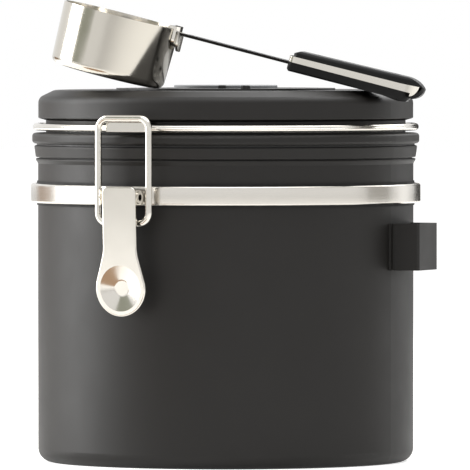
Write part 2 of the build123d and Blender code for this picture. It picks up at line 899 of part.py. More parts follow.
# Side strap: a back plate on the can, two legs and an outer face
loop_radial = Vector(1, 0, 0).rotate(Axis.Z, loop_angle)
loop_plane = Plane(origin=(0, 0, loop_low), x_dir=loop_radial, z_dir=(0, 0, 1))
loop_inner = can_radius + loop_gap
with BuildPart() as scoop_loop:
    with BuildSketch(loop_plane):
        with Locations((can_radius - loop_width / 2, 0)):
            Rectangle(loop_width + 2 * loop_reach, loop_width)
        fillet(vertices().sort_by(Axis.X)[-2:], loop_corner)
        with Locations((can_radius - loop_width / 2, 0)):
            Rectangle(
                loop_width + 2 * (loop_reach - loop_sheet),
                loop_width - 2 * loop_sheet,
                mode=Mode.SUBTRACT,
            )
        Circle(loop_inner + loop_back_sheet, mode=Mode.SUBTRACT)
    extrude(amount=loop_height)
    with BuildSketch(loop_plane):
        Circle(loop_inner + loop_back_sheet)
        Circle(loop_inner, mode=Mode.SUBTRACT)
        with Locations((can_radius, 0)):
            Rectangle(loop_width, loop_width + 2 * loop_flange, mode=Mode.INTERSECT)
    extrude(amount=loop_height)
scoop_loop.part.label = "scoop_loop"
export_step(scoop_loop.part, "parts/scoop_loop.step")


# Scoop pose: the heel of the cup rests on the dial, the grip on the edge of the lid's flat top
heading = Vector(1, 0, 0).rotate(Axis.Z, scoop_heading)
heel = Vector(heel_radius, 0, 0).rotate(Axis.Z, heel_angle)
far_edge = heel + heading.rotate(Axis.Z, 90) * (grip_pad_width / 2)
along = -far_edge.dot(heading)
edge_distance = along + math.sqrt(along**2 - far_edge.length**2 + lid_bevel_radius**2)
corner_height = dial_rise + cup_corner
under_knee_height = strip_top - under_knee_drop
droop = math.atan2(under_start - under_knee_height, under_knee - grip_start)
heel_u = cup_base_radius - cup_corner
under_at_heel = under_start + (grip_start - heel_u) * math.tan(droop)
corner_to_under = (under_at_heel - cup_corner) * math.cos(droop)
slope_angle = math.asin(corner_to_under / math.hypot(edge_distance, corner_height))
scoop_tilt = slope_angle + math.atan2(corner_height, edge_distance) - droop
handle_dir = heading * math.cos(scoop_tilt) - Vector(0, 0, 1) * math.sin(scoop_tilt)
cup_axis = heading * math.sin(scoop_tilt) + Vector(0, 0, 1) * math.cos(scoop_tilt)
corner_centre = heel + Vector(0, 0, dial_top + rest_gap + cup_corner)
scoop_origin = corner_centre - handle_dir * heel_u - cup_axis * cup_corner
scoop_side = Plane(origin=scoop_origin, x_dir=handle_dir, z_dir=handle_dir.cross(cup_axis))
scoop_top = Plane(origin=scoop_origin, x_dir=handle_dir, z_dir=cup_axis)
scoop_upright = Axis(origin=scoop_origin, direction=cup_axis)
print("scoop tilt in degrees", round(math.degrees(scoop_tilt), 2))


# Scoop cup: thin drawn cup with a rounded base
with BuildPart() as scoop_cup:
    with BuildSketch(scoop_side):
        with BuildLine():
            Line((0, 0), (heel_u, 0))
            CenterArc((heel_u, cup_corner), cup_corner, -90, 90)
            Polyline(
                (cup_base_radius, cup_corner),
                (cup_mouth_radius, cup_height),
                (cup_mouth_radius - cup_wall, cup_height),
                (cup_base_radius - cup_wall, cup_corner),
            )
            CenterArc((heel_u, cup_corner), cup_corner - cup_wall, -90, 90)
            Polyline((heel_u, cup_wall), (0, cup_wall), (0, 0))
        make_face()
    revolve(axis=scoop_upright)
scoop_cup.part.label = "scoop_cup"
export_step(scoop_cup.part, "parts/scoop_cup.step")


# Tab welded on the wall of the cup, hooked over its rim
tab_inner_radius = cup_mouth_radius + tab_gap
tab_outer_radius = tab_inner_radius + tab_thickness
with BuildPart() as scoop_bracket:
    with BuildSketch(scoop_top.offset(cup_height - tab_drop)):
        Circle(tab_outer_radius)
        Circle(tab_inner_radius, mode=Mode.SUBTRACT)
        with Locations((tab_outer_radius, 0)):
            Rectangle(tab_outer_radius, tab_width, mode=Mode.INTERSECT)
    extrude(amount=tab_drop + tab_gap)
    fillet(edges().group_by(scoop_upright)[0].filter_by(GeomType.LINE), tab_rounding)
    with BuildSketch(scoop_top.offset(cup_height + tab_gap)):
        Circle(tab_outer_radius)
        Circle(tab_inner_radius - tab_lip, mode=Mode.SUBTRACT)
        with Locations((tab_outer_radius, 0)):
            Rectangle(tab_outer_radius, tab_width, mode=Mode.INTERSECT)
    extrude(amount=tab_thickness)
scoop_bracket.part.label = "scoop_bracket"
export_step(scoop_bracket.part, "parts/scoop_bracket.step")


# Thin strip from the tab into the grip, its root turned down outside the tab
strip_low = strip_top - strip_thickness
root_inner_radius = tab_outer_radius + tab_gap
root_outer_radius = root_inner_radius + root_thickness
with BuildPart() as scoop_strip:
    with BuildSketch(scoop_top.offset(cup_height - root_drop)):
        Circle(root_outer_radius)
        Circle(root_inner_radius, mode=Mode.SUBTRACT)
        with Locations((root_outer_radius, 0)):
            Rectangle(root_outer_radius, root_width, mode=Mode.INTERSECT)
    extrude(amount=strip_top - cup_height + root_drop)
    fillet(edges().group_by(scoop_upright)[0].filter_by(GeomType.LINE), root_rounding)
    with BuildSketch(scoop_top.offset(strip_low)):
        with Locations(((root_inner_radius + strip_end) / 2, 0)):
            Rectangle(strip_end - root_inner_radius, strip_width)
        fillet(vertices().sort_by(Axis.X)[-2:], strip_width / 4)
        with Locations(*rivet_places):
            Circle(grip_rivet_radius + grip_rivet_gap, mode=Mode.SUBTRACT)
        Circle(root_inner_radius, mode=Mode.SUBTRACT)
    extrude(amount=strip_thickness)
scoop_strip.part.label = "scoop_strip"
export_step(scoop_strip.part, "parts/scoop_strip.step")


# Grip: a steel layer between two black pads. Its tip is turned down over the lower pad's end, and
# the nose of the top pad wraps round it
frame_start_top = strip_top + frame_start_thickness
frame_end_top = strip_top + frame_end_thickness
pad_start_top = frame_start_top + pad_start_thickness
pad_end_top = frame_end_top + pad_end_thickness
tip_bend = grip_end - tip_length
tip_height = strip_top + tip_rise
tip_low = strip_top - tip_drop
tip_seat = under_tip + tip_seat_gap
nose_seat = tip_seat + nose_wrap
nose_low = tip_low - nose_drop
pad_start = grip_start + pad_inset
frame_end = grip_end - nose_wrap
tip_middle = ((frame_end + tip_seat) / 2 + tip_edge, (tip_height + tip_low) / 2 - tip_edge)
nose_middle = (tip_middle[0] + nose_wrap, tip_middle[1] - nose_drop)
frame_slope = (frame_end_top - frame_start_top) / (tip_bend - grip_start)
pad_seat = frame_start_top + frame_slope * pad_inset


def grip_plan(width, start, end):
    """Sketches the plan of one grip layer: a bar with a small radius at its start and a round tip."""
    with Locations(((start + end) / 2, 0)):
        Rectangle(end - start, width)
    fillet(vertices().sort_by(Axis.X)[-2:], width * grip_tip_rounding)
    fillet(vertices().sort_by(Axis.X)[:2], width * grip_start_rounding)
    with Locations(*rivet_places):
        Circle(grip_rivet_radius + grip_rivet_gap, mode=Mode.SUBTRACT)


with BuildPart() as grip_frame:
    with BuildSketch(scoop_side):
        with BuildLine():
            Polyline(
                (tip_seat, tip_low),
                (tip_seat, strip_top),
                (grip_start, strip_top),
                (grip_start, frame_start_top),
                (tip_bend, frame_end_top),
                (frame_end, tip_height),
                (frame_end, tip_height - tip_edge),
            )
            ThreePointArc((frame_end, tip_height - tip_edge), tip_middle, (tip_seat, tip_low))
        make_face()
    extrude(amount=grip_width / 2, both=True)
    with BuildSketch(scoop_top):
        grip_plan(grip_width, grip_start, frame_end)
    extrude(amount=2 * cup_height, mode=Mode.INTERSECT)
grip_frame.part.label = "grip_frame"
export_step(grip_frame.part, "parts/grip_frame.step")

pad_slope = math.atan2(pad_end_top - pad_start_top, tip_bend - pad_start - pad_start_thickness)
pad_line = handle_dir * math.cos(pad_slope) + cup_axis * math.sin(pad_slope)
pad_crown = scoop_origin + handle_dir * tip_bend + cup_axis * pad_end_top
pad_section = Plane(origin=pad_crown, x_dir=cup_axis.cross(handle_dir), z_dir=pad_line)
with BuildPart() as grip_top_pad:
    with BuildSketch(scoop_side):
        with BuildLine():
            Polyline(
                (tip_bend, pad_end_top),
                (pad_start + pad_start_thickness, pad_start_top),
                (pad_start, pad_start_top - pad_start_thickness / 2),
                (pad_start, pad_seat),
                (tip_bend, frame_end_top),
                (frame_end, tip_height),
                (frame_end, tip_height - tip_edge),
            )
            ThreePointArc((frame_end, tip_height - tip_edge), tip_middle, (tip_seat, tip_low))
            Line((tip_seat, tip_low), (nose_seat, nose_low))
            ThreePointArc((nose_seat, nose_low), nose_middle, (grip_end, tip_height - tip_edge))
            ThreePointArc(
                (grip_end, tip_height - tip_edge),
                (grip_end - tip_length / 3, tip_height + pad_end_thickness / 2),
                (tip_bend, pad_end_top),
            )
        make_face()
    extrude(amount=grip_pad_width / 2, both=True)
    with BuildSketch(scoop_top):
        grip_plan(grip_pad_width, pad_start, grip_end)
    extrude(amount=2 * cup_height, mode=Mode.INTERSECT)
    with BuildSketch(pad_section):
        with Locations((0, -cup_height / 2)):
            Rectangle(grip_pad_width, cup_height)
        fillet(vertices().group_by(Axis.Y)[-1], pad_rounding)
    extrude(amount=grip_end, both=True, mode=Mode.INTERSECT)
grip_top_pad.part.label = "grip_top_pad"
export_step(grip_top_pad.part, "parts/grip_top_pad.step")

under_keel = scoop_origin + cup_axis * under_end
under_section = Plane(origin=under_keel, x_dir=cup_axis.cross(handle_dir), z_dir=handle_dir)
with BuildPart() as grip_bottom_pad:
    with BuildSketch(scoop_side):
        with BuildLine():
            Polyline(
                (grip_start, strip_top),
                (grip_start, under_start + under_chamfer),
                (grip_start + under_chamfer, under_start),
                (under_knee, under_knee_height),
                (under_tip - 4 * under_chamfer, under_end),
                (under_tip - under_chamfer, under_end + under_chamfer / 2),
                (under_tip, under_end + 2 * under_chamfer),
                (under_tip, strip_top),
                close=True,
            )
        make_face()
    extrude(amount=grip_pad_width / 2, both=True)
    with BuildSketch(scoop_top):
        grip_plan(grip_pad_width, grip_start, under_tip)
    extrude(amount=cup_height, mode=Mode.INTERSECT)
    with BuildSketch(under_section):
        with Locations((0, cup_height / 2)):
            Rectangle(grip_pad_width, cup_height)
        fillet(vertices().group_by(Axis.Y)[0], pad_rounding)
    extrude(amount=grip_end, mode=Mode.INTERSECT)
    with BuildSketch(scoop_top.offset(strip_low)):
        with Locations((strip_end / 2, 0)):
            Rectangle(strip_end, strip_width)
        fillet(vertices().sort_by(Axis.X)[-2:], strip_width / 4)
    extrude(amount=strip_thickness, mode=Mode.SUBTRACT)
grip_bottom_pad.part.label = "grip_bottom_pad"
export_step(grip_bottom_pad.part, "parts/grip_bottom_pad.step")


# Two rivets through the layers of the grip, flush with the pads
with BuildPart() as grip_rivets:
    with BuildSketch(scoop_top.offset(under_start)):
        with Locations(*rivet_places):
            Circle(grip_rivet_radius)
    extrude(amount=pad_start_top - under_start)
grip_rivets.part.label = "grip_rivets"
export_step(grip_rivets.part, "parts/grip_rivets.step")
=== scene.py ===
"""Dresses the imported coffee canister: finishes, dial print, studio and camera.

The CAD frame gives the pieces, their sizes and their places. Lengths in the classes are millimetres
unless a class says metres. The frame has +Z up, the latch at -Y, the lid's hinge at +Y and the
middle of the base at the origin.
"""

from __future__ import annotations

import json
import logging
import math
from abc import ABC, abstractmethod
from dataclasses import dataclass
from enum import Enum
from typing import Any

import bmesh
import bpy
from mathutils import Matrix, Vector

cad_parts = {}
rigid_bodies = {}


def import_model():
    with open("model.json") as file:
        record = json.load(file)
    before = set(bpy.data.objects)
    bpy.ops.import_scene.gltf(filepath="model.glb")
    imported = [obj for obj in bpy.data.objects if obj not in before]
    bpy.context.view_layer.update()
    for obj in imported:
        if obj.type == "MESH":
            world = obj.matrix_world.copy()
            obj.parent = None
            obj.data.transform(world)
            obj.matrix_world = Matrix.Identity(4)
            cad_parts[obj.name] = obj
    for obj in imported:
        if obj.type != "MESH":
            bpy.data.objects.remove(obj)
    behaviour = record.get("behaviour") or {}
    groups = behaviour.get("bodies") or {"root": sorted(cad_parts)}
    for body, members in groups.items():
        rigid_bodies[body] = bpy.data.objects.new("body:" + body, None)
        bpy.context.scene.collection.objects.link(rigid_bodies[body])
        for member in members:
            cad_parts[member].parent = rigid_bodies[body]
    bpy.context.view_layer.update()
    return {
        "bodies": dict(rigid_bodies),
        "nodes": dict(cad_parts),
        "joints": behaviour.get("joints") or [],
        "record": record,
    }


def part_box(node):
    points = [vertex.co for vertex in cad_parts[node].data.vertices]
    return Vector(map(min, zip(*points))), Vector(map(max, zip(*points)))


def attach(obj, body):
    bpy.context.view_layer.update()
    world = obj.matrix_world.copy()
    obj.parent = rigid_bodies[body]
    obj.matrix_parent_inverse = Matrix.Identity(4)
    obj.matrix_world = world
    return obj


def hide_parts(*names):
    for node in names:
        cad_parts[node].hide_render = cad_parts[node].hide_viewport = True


log = logging.getLogger("canister")
MM = 0.001
RING_STEPS = 256
CORNER_STEPS = 6
DISC_STEPS = 48
DIGIT_STEPS = 4
WELD = 1e-7
NOISE_LOW = 0.3
NOISE_HIGH = 0.7
FLOAT = "NodeSocketFloat"


# Small helpers


def colour(code: str) -> tuple[float, float, float, float]:
    """Turns an sRGB hex code into linear RGBA.

    Args:
        code: six hex digits with a leading hash.

    Returns:
        Linear red, green and blue, with alpha 1.
    """
    parts = [int(code[i : i + 2], 16) / 255 for i in (1, 3, 5)]
    linear = [p / 12.92 if p <= 0.04045 else ((p + 0.055) / 1.055) ** 2.4 for p in parts]
    return (linear[0], linear[1], linear[2], 1.0)


def add_node(
    tree: bpy.types.NodeTree, kind: str, inputs: dict[Any, Any] | None = None, **settings: Any
) -> bpy.types.Node:
    """Adds one node to a tree, with its settings, constants and links.

    Args:
        tree: the node tree to add to.
        kind: the node's type name.
        inputs: socket name or index mapped to a constant, or to the output socket to link.
        **settings: properties of the node.

    Returns:
        The new node.
    """
    item = tree.nodes.new(kind)
    for name, value in settings.items():
        setattr(item, name, value)
    for key, value in (inputs or {}).items():
        socket = item.inputs[key]
        if isinstance(value, bpy.types.NodeSocket):
            tree.links.new(value, socket)
        else:
            socket.default_value = value
    return item


def cleared_tree(holder: bpy.types.Material | bpy.types.World) -> bpy.types.NodeTree:
    """Turns on the nodes of a material or a world and empties its tree.

    Args:
        holder: the material or the world.

    Returns:
        The empty tree.
    """
    holder.use_nodes = True
    holder.node_tree.nodes.clear()
    return holder.node_tree


def seen_level(tree: bpy.types.NodeTree, straight: float, mirrored: float) -> bpy.types.NodeSocket:
    """Adds a value that differs for camera rays, for glossy or transmission rays, and is else 0.

    Args:
        tree: the tree of a world or of a staged object's material.
        straight: the value for camera rays.
        mirrored: the value for glossy and transmission rays.

    Returns:
        The value socket.
    """
    path = add_node(tree, "ShaderNodeLightPath").outputs
    bent = add_node(
        tree,
        "ShaderNodeMath",
        {0: path["Is Glossy Ray"], 1: path["Is Transmission Ray"]},
        operation="MAXIMUM",
    )
    bent_level = add_node(
        tree, "ShaderNodeMath", {0: bent.outputs["Value"], 1: mirrored}, operation="MULTIPLY"
    )
    level = add_node(
        tree,
        "ShaderNodeMath",
        {0: path["Is Camera Ray"], 1: straight, 2: bent_level.outputs["Value"]},
        operation="MULTIPLY_ADD",
    )
    return level.outputs["Value"]


def facing(place: Vector, aim: Vector) -> Matrix:
    """Gives the matrix of a lamp or camera that stands at a place and looks at an aim."""
    return Matrix.Translation(place) @ (aim - place).to_track_quat("-Z", "Y").to_matrix().to_4x4()


def fill_mesh(data: bpy.types.Mesh, build: bmesh.types.BMesh, smooth: bool) -> None:
    """Turns a bmesh's faces outwards, shades them, puts them into a mesh and frees the bmesh.

    Args:
        data: the mesh to fill.
        build: the geometry.
        smooth: whether the faces are shaded smooth.
    """
    bmesh.ops.recalc_face_normals(build, faces=build.faces)
    for face in build.faces:
        face.smooth = smooth
    build.to_mesh(data)
    build.free()


def mesh_object(name: str, build: bmesh.types.BMesh, smooth: bool = True) -> bpy.types.Object:
    """Makes an object at the origin from a finished bmesh and frees the bmesh.

    Args:
        name: the object's name.
        build: the geometry, in metres in the row's frame.
        smooth: whether the faces are shaded smooth.

    Returns:
        The object, linked to the scene.
    """
    bmesh.ops.remove_doubles(build, verts=build.verts, dist=WELD)
    data = bpy.data.meshes.new(name)
    fill_mesh(data, build, smooth)
    item = bpy.data.objects.new(name, data)
    bpy.context.scene.collection.objects.link(item)
    return item


def start_tree(name: str, inputs: dict[str, str]) -> tuple[bpy.types.NodeTree, Any]:
    """Starts a Geometry Nodes tree that takes and gives one geometry.

    Args:
        name: the tree's name.
        inputs: name of each further input mapped to its socket type.

    Returns:
        The tree and its inputs, by name.
    """
    tree = bpy.data.node_groups.new(name, "GeometryNodeTree")
    face = tree.interface
    face.new_socket("Geometry", in_out="INPUT", socket_type="NodeSocketGeometry")
    for label, kind in inputs.items():
        face.new_socket(label, in_out="INPUT", socket_type=kind)
    face.new_socket("Geometry", in_out="OUTPUT", socket_type="NodeSocketGeometry")
    return tree, add_node(tree, "NodeGroupInput").outputs


def end_tree(tree: bpy.types.NodeTree, shape: bpy.types.NodeSocket, material: Any) -> None:
    """Ends a Geometry Nodes tree: makes its instances real and gives them their material.

    Args:
        tree: the tree.
        shape: the geometry socket to end with.
        material: the material, or the input socket that holds it.
    """
    real = add_node(tree, "GeometryNodeRealizeInstances", {"Geometry": shape})
    dressed = add_node(
        tree, "GeometryNodeSetMaterial", {"Geometry": real.outputs["Geometry"], "Material": material}
    )
    add_node(tree, "NodeGroupOutput", {"Geometry": dressed.outputs["Geometry"]})


def run_tree(name: str, tree: bpy.types.NodeTree, values: dict[str, Any]) -> bpy.types.Object:
    """Runs a Geometry Nodes tree once and keeps its result as a plain mesh.

    Args:
        name: the piece's name.
        tree: the tree.
        values: input name mapped to its value.

    Returns:
        The piece, at the origin.
    """
    item = mesh_object(name, bmesh.new())
    run = item.modifiers.new("make", "NODES")
    run.node_group = tree
    for socket in tree.interface.items_tree:
        if socket.in_out == "INPUT" and socket.name in values:
            run[socket.identifier] = values[socket.name]
    bpy.context.view_layer.update()
    graph = bpy.context.evaluated_depsgraph_get()
    made = bpy.data.meshes.new_from_object(item.evaluated_get(graph))
    item.modifiers.remove(run)
    item.data = made
    return item


# Finishes


class Grain(Enum):
    """The axis along which a metal's brush lines follow one another, or none."""

    ROUND = "Z"
    NONE = "polished, no lines"


@dataclass(frozen=True)
class Finish(ABC):
    """Base of every finish: a Principled shader whose plain values are set on its own sockets."""

    name: str
    tint: str
    roughness: float

    def ready(self) -> bpy.types.Material:
        """Gives the finish's material, which is made the first time it is asked for."""
        return bpy.data.materials.get(self.name) or self.material()

    @abstractmethod
    def material(self) -> bpy.types.Material:
        """Builds the material. Each kind of finish has its own way."""

    def start(self) -> tuple[bpy.types.Material, bpy.types.NodeTree, bpy.types.Node, bpy.types.Node]:
        """Makes the material with its shader and an Object coordinate node.

        Returns:
            The material, its tree, the Principled node and the coordinate node.
        """
        material = bpy.data.materials.new(self.name)
        tree = cleared_tree(material)
        shader = add_node(
            tree, "ShaderNodeBsdfPrincipled", {"Base Color": colour(self.tint), "Roughness": self.roughness}
        )
        add_node(tree, "ShaderNodeOutputMaterial", {"Surface": shader.outputs["BSDF"]})
        place = add_node(tree, "ShaderNodeTexCoord")
        return material, tree, shader, place

    def mottle(
        self, tree: bpy.types.NodeTree, where: bpy.types.NodeSocket, size_mm: float, low: float, high: float
    ) -> bpy.types.NodeSocket:
        """Adds a soft noise whose value runs from low to high over patches of a real size.

        Args:
            tree: the material's tree.
            where: the coordinate socket.
            size_mm: the patch size in millimetres.
            low: value in the darkest patches.
            high: value in the lightest patches.

        Returns:
            The value socket.
        """
        noise = add_node(
            tree, "ShaderNodeTexNoise", {"Vector": where, "Scale": 1 / (size_mm * MM), "Detail": 4.0}
        )
        spread = add_node(
            tree,
            "ShaderNodeMapRange",
            {
                "Value": noise.outputs["Fac"],
                "From Min": NOISE_LOW,
                "From Max": NOISE_HIGH,
                "To Min": low,
                "To Max": high,
            },
        )
        return spread.outputs["Result"]


@dataclass(frozen=True)
class PowderCoat(Finish):
    """Baked satin powder coat on steel: a fine orange-peel texture under an even dark film."""

    peel_mm: float = 0.55
    peel_depth_mm: float = 0.006
    peel_strength: float = 0.35
    gloss_level: float = 0.34
    ior: float = 1.5
    patch_mm: float = 14.0
    patch_spread: float = 0.03

    def material(self) -> bpy.types.Material:
        """Builds the coat, with orange peel in the bump and slow patches in the gloss."""
        material, tree, shader, place = self.start()
        where = place.outputs["Object"]
        shader.inputs["IOR"].default_value = self.ior
        shader.inputs["Specular IOR Level"].default_value = self.gloss_level
        peel = add_node(
            tree, "ShaderNodeTexNoise", {"Vector": where, "Scale": 1 / (self.peel_mm * MM), "Detail": 3.0}
        )
        bump = add_node(
            tree,
            "ShaderNodeBump",
            {
                "Height": peel.outputs["Fac"],
                "Strength": self.peel_strength,
                "Distance": self.peel_depth_mm * MM,
            },
        )
        tree.links.new(bump.outputs["Normal"], shader.inputs["Normal"])
        low, high = self.roughness - self.patch_spread, self.roughness + self.patch_spread
        gloss = self.mottle(tree, where, self.patch_mm, low, high)
        tree.links.new(gloss, shader.inputs["Roughness"])
        return material


@dataclass(frozen=True)
class Stainless(Finish):
    """Stainless sheet or wire: bright, slightly warm, brushed along one way or drawn smooth.

    Pressed sheet keeps a faint waviness from the tool, so that its reflections aren't ruled straight.
    Real brush lines are finer than line_mm, which is as coarse as it needs to be to show.
    A blackened piece can keep a bare end, up to a place along the X axis.
    """

    grain: Grain = Grain.NONE
    line_mm: float = 0.25
    line_depth_mm: float = 0.002
    line_strength: float = 0.4
    line_gloss: float = 0.12
    patch_mm: float = 9.0
    patch_share: float = 0.15
    wave_mm: float = 6.0
    wave_depth_mm: float = 0.015
    bare_tint: str = ""
    bare_to_mm: float = 0.0
    bare_fade_mm: float = 1.0

    def bare_end(
        self, tree: bpy.types.NodeTree, where: bpy.types.NodeSocket, shader: bpy.types.Node
    ) -> None:
        """Gives the metal its bare tint up to a place along the X axis, and its own tint past it.

        Args:
            tree: the material's tree.
            where: the coordinate socket.
            shader: the Principled node.
        """
        along = add_node(tree, "ShaderNodeSeparateXYZ", {"Vector": where})
        step = add_node(
            tree,
            "ShaderNodeMapRange",
            {
                "Value": along.outputs["X"],
                "From Min": (self.bare_to_mm - self.bare_fade_mm / 2) * MM,
                "From Max": (self.bare_to_mm + self.bare_fade_mm / 2) * MM,
            },
        )
        tone = add_node(
            tree,
            "ShaderNodeMix",
            {"Factor": step.outputs["Result"], "A": colour(self.bare_tint), "B": colour(self.tint)},
            data_type="RGBA",
        )
        tree.links.new(tone.outputs["Result"], shader.inputs["Base Color"])

    def material(self) -> bpy.types.Material:
        """Builds the metal, with its waves and brush lines in the bump and the roughness."""
        material, tree, shader, place = self.start()
        where = place.outputs["Object"]
        shader.inputs["Metallic"].default_value = 1.0
        if self.bare_tint:
            self.bare_end(tree, where, shader)
        low, high = self.roughness * (1 - self.patch_share), self.roughness * (1 + self.patch_share)
        gloss = self.mottle(tree, where, self.patch_mm, low, high)
        waves = add_node(
            tree, "ShaderNodeTexNoise", {"Vector": where, "Scale": 1 / (self.wave_mm * MM), "Detail": 1.0}
        )
        bump = add_node(
            tree,
            "ShaderNodeBump",
            {"Height": waves.outputs["Fac"], "Strength": 1.0, "Distance": self.wave_depth_mm * MM},
        )
        if self.grain is not Grain.NONE:
            across = add_node(tree, "ShaderNodeSeparateXYZ", {"Vector": where})
            lines = add_node(
                tree,
                "ShaderNodeTexNoise",
                {"W": across.outputs[self.grain.value], "Scale": 1 / (self.line_mm * MM), "Detail": 2.0},
                noise_dimensions="1D",
            )
            bump = add_node(
                tree,
                "ShaderNodeBump",
                {
                    "Height": lines.outputs["Fac"],
                    "Strength": self.line_strength,
                    "Distance": self.line_depth_mm * MM,
                    "Normal": bump.outputs["Normal"],
                },
            )
            gloss_lines = add_node(
                tree,
                "ShaderNodeMath",
                {0: lines.outputs["Fac"], 1: self.line_gloss, 2: gloss},
                operation="MULTIPLY_ADD",
            )
            gloss = gloss_lines.outputs["Value"]
        tree.links.new(bump.outputs["Normal"], shader.inputs["Normal"])
        tree.links.new(gloss, shader.inputs["Roughness"])
        return material


@dataclass(frozen=True)
class MouldedPlastic(Finish):
    """Injection-moulded plastic with a spark-eroded texture that breaks up the gloss.

    The real texture is finer than texture_mm, which is as coarse as it needs to be to show.
    """

    texture_mm: float = 0.35
    texture_depth_mm: float = 0.01
    texture_strength: float = 0.5
    gloss_level: float = 0.5
    ior: float = 1.5
    patch_mm: float = 8.0
    patch_low: float = 0.92
    patch_high: float = 1.08

    def material(self) -> bpy.types.Material:
        """Builds the plastic, with the mould's texture in the bump and a faint tone change."""
        material, tree, shader, place = self.start()
        where = place.outputs["Object"]
        shader.inputs["IOR"].default_value = self.ior
        shader.inputs["Specular IOR Level"].default_value = self.gloss_level
        texture = add_node(
            tree, "ShaderNodeTexNoise", {"Vector": where, "Scale": 1 / (self.texture_mm * MM), "Detail": 2.0}
        )
        bump = add_node(
            tree,
            "ShaderNodeBump",
            {
                "Height": texture.outputs["Fac"],
                "Strength": self.texture_strength,
                "Distance": self.texture_depth_mm * MM,
            },
        )
        tree.links.new(bump.outputs["Normal"], shader.inputs["Normal"])
        tone = self.mottle(tree, where, self.patch_mm, self.patch_low, self.patch_high)
        shade = add_node(
            tree,
            "ShaderNodeMix",
            {"Factor": 1.0, "A": colour(self.tint), "B": tone},
            data_type="RGBA",
            blend_type="MULTIPLY",
        )
        tree.links.new(shade.outputs["Result"], shader.inputs["Base Color"])
        return material


@dataclass(frozen=True)
class Silicone(Finish):
    """Pressed silicone rubber: soft and matt, with a little light scattered under its skin."""

    ior: float = 1.41
    scatter_share: float = 0.25
    scatter_mm: float = 0.8
    patch_mm: float = 3.0
    patch_spread: float = 0.06

    def material(self) -> bpy.types.Material:
        """Builds the rubber, with light scattered a short way under its skin."""
        material, tree, shader, place = self.start()
        shader.inputs["IOR"].default_value = self.ior
        shader.inputs["Subsurface Weight"].default_value = self.scatter_share
        shader.inputs["Subsurface Radius"].default_value = (self.scatter_mm * MM,) * 3
        low, high = self.roughness - self.patch_spread, self.roughness + self.patch_spread
        gloss = self.mottle(tree, place.outputs["Object"], self.patch_mm, low, high)
        tree.links.new(gloss, shader.inputs["Roughness"])
        return material


@dataclass(frozen=True)
class Felt(Finish):
    """Pressed filter felt: a mat of pale fibres about a third of a millimetre across the tufts."""

    tuft_mm: float = 0.35
    tuft_depth_mm: float = 0.1
    tuft_strength: float = 0.8

    def material(self) -> bpy.types.Material:
        """Builds the felt, with its tufts in the bump."""
        material, tree, shader, place = self.start()
        tufts = add_node(
            tree,
            "ShaderNodeTexNoise",
            {"Vector": place.outputs["Object"], "Scale": 1 / (self.tuft_mm * MM), "Detail": 6.0},
        )
        bump = add_node(
            tree,
            "ShaderNodeBump",
            {
                "Height": tufts.outputs["Fac"],
                "Strength": self.tuft_strength,
                "Distance": self.tuft_depth_mm * MM,
            },
        )
        tree.links.new(bump.outputs["Normal"], shader.inputs["Normal"])
        return material


# The can's coat is an even black with a soft, wide sheen
BLACK_COAT = PowderCoat("satin_black_powder_coat", "#171513", 0.5)
# The strap's brush lines run round the can, and wire and sheet show the room as a soft mirror does
BAND_STEEL = Stainless("brushed_stainless_strap", "#d6d2cb", 0.16, grain=Grain.ROUND)
WIRE_STEEL = Stainless("drawn_stainless_wire", "#dcd8d0", 0.16, wave_depth_mm=0.004)
PRESSED_STEEL = Stainless("pressed_stainless_sheet", "#d8d4cc", 0.13)
# The cup's slow waves bend what it mirrors
CUP_STEEL = Stainless("polished_stainless_cup", "#cec9bf", 0.13, wave_mm=9.0, wave_depth_mm=0.02)
# The scoop's strip is black with a dark sheen, and its root is bare
STRIP_STEEL = Stainless(
    "blackened_stainless_strip", "#201f1d", 0.25, bare_tint="#d8d4cc", bare_to_mm=2.5
)
# The dial, the valve, the grip and the plug are fine-grained plastic, and the grip reflects the least
DIAL_PLASTIC = MouldedPlastic("moulded_black_abs", "#232221", 0.5)
CAP_PLASTIC = MouldedPlastic("moulded_grey_abs", "#8f9193", 0.5)
GRIP_PLASTIC = MouldedPlastic("moulded_black_grip", "#0f0f0f", 0.42, gloss_level=0.2)
PAN_PLASTIC = MouldedPlastic("moulded_black_pan", "#242322", 0.45)
# Seal, flap and liner are soft black rubber without a clear highlight. The liner's black, where it shows
# above and below the strap, is painted shade of the gaps there
SEAL_RUBBER = Silicone("pressed_black_silicone", "#2b2b2b", 0.5)
# painted shade: the liner's near-black stands in for the shade in the gaps above and below the strap
SHADE_LINER_RUBBER = Silicone("black_liner_painted_shade", "#121212", 0.7)
# The filter is a pale mat of fibres
FILTER_FELT = Felt("pressed_filter_felt", "#e4dfd2", 0.95)
# The dial's ink is pale and flat
DIAL_PRINT = MouldedPlastic("pad_printed_grey_ink", "#b9bab8", 0.55, texture_mm=0.2, texture_depth_mm=0.002)


# Sub-assemblies


@dataclass
class Dressing:
    """Gives the CAD nodes of one sub-assembly their finishes."""

    frame: dict[str, Any]

    def dress(self, finishes: dict[str, Finish]) -> None:
        """Assigns each node's finish to its object's material slots.

        Args:
            finishes: CAD node name mapped to its finish.
        """
        for node, finish in finishes.items():
            for slot in self.frame["nodes"][node].material_slots:
                slot.material = finish.ready()
            log.info("%s dressed in %s", node, finish.name)


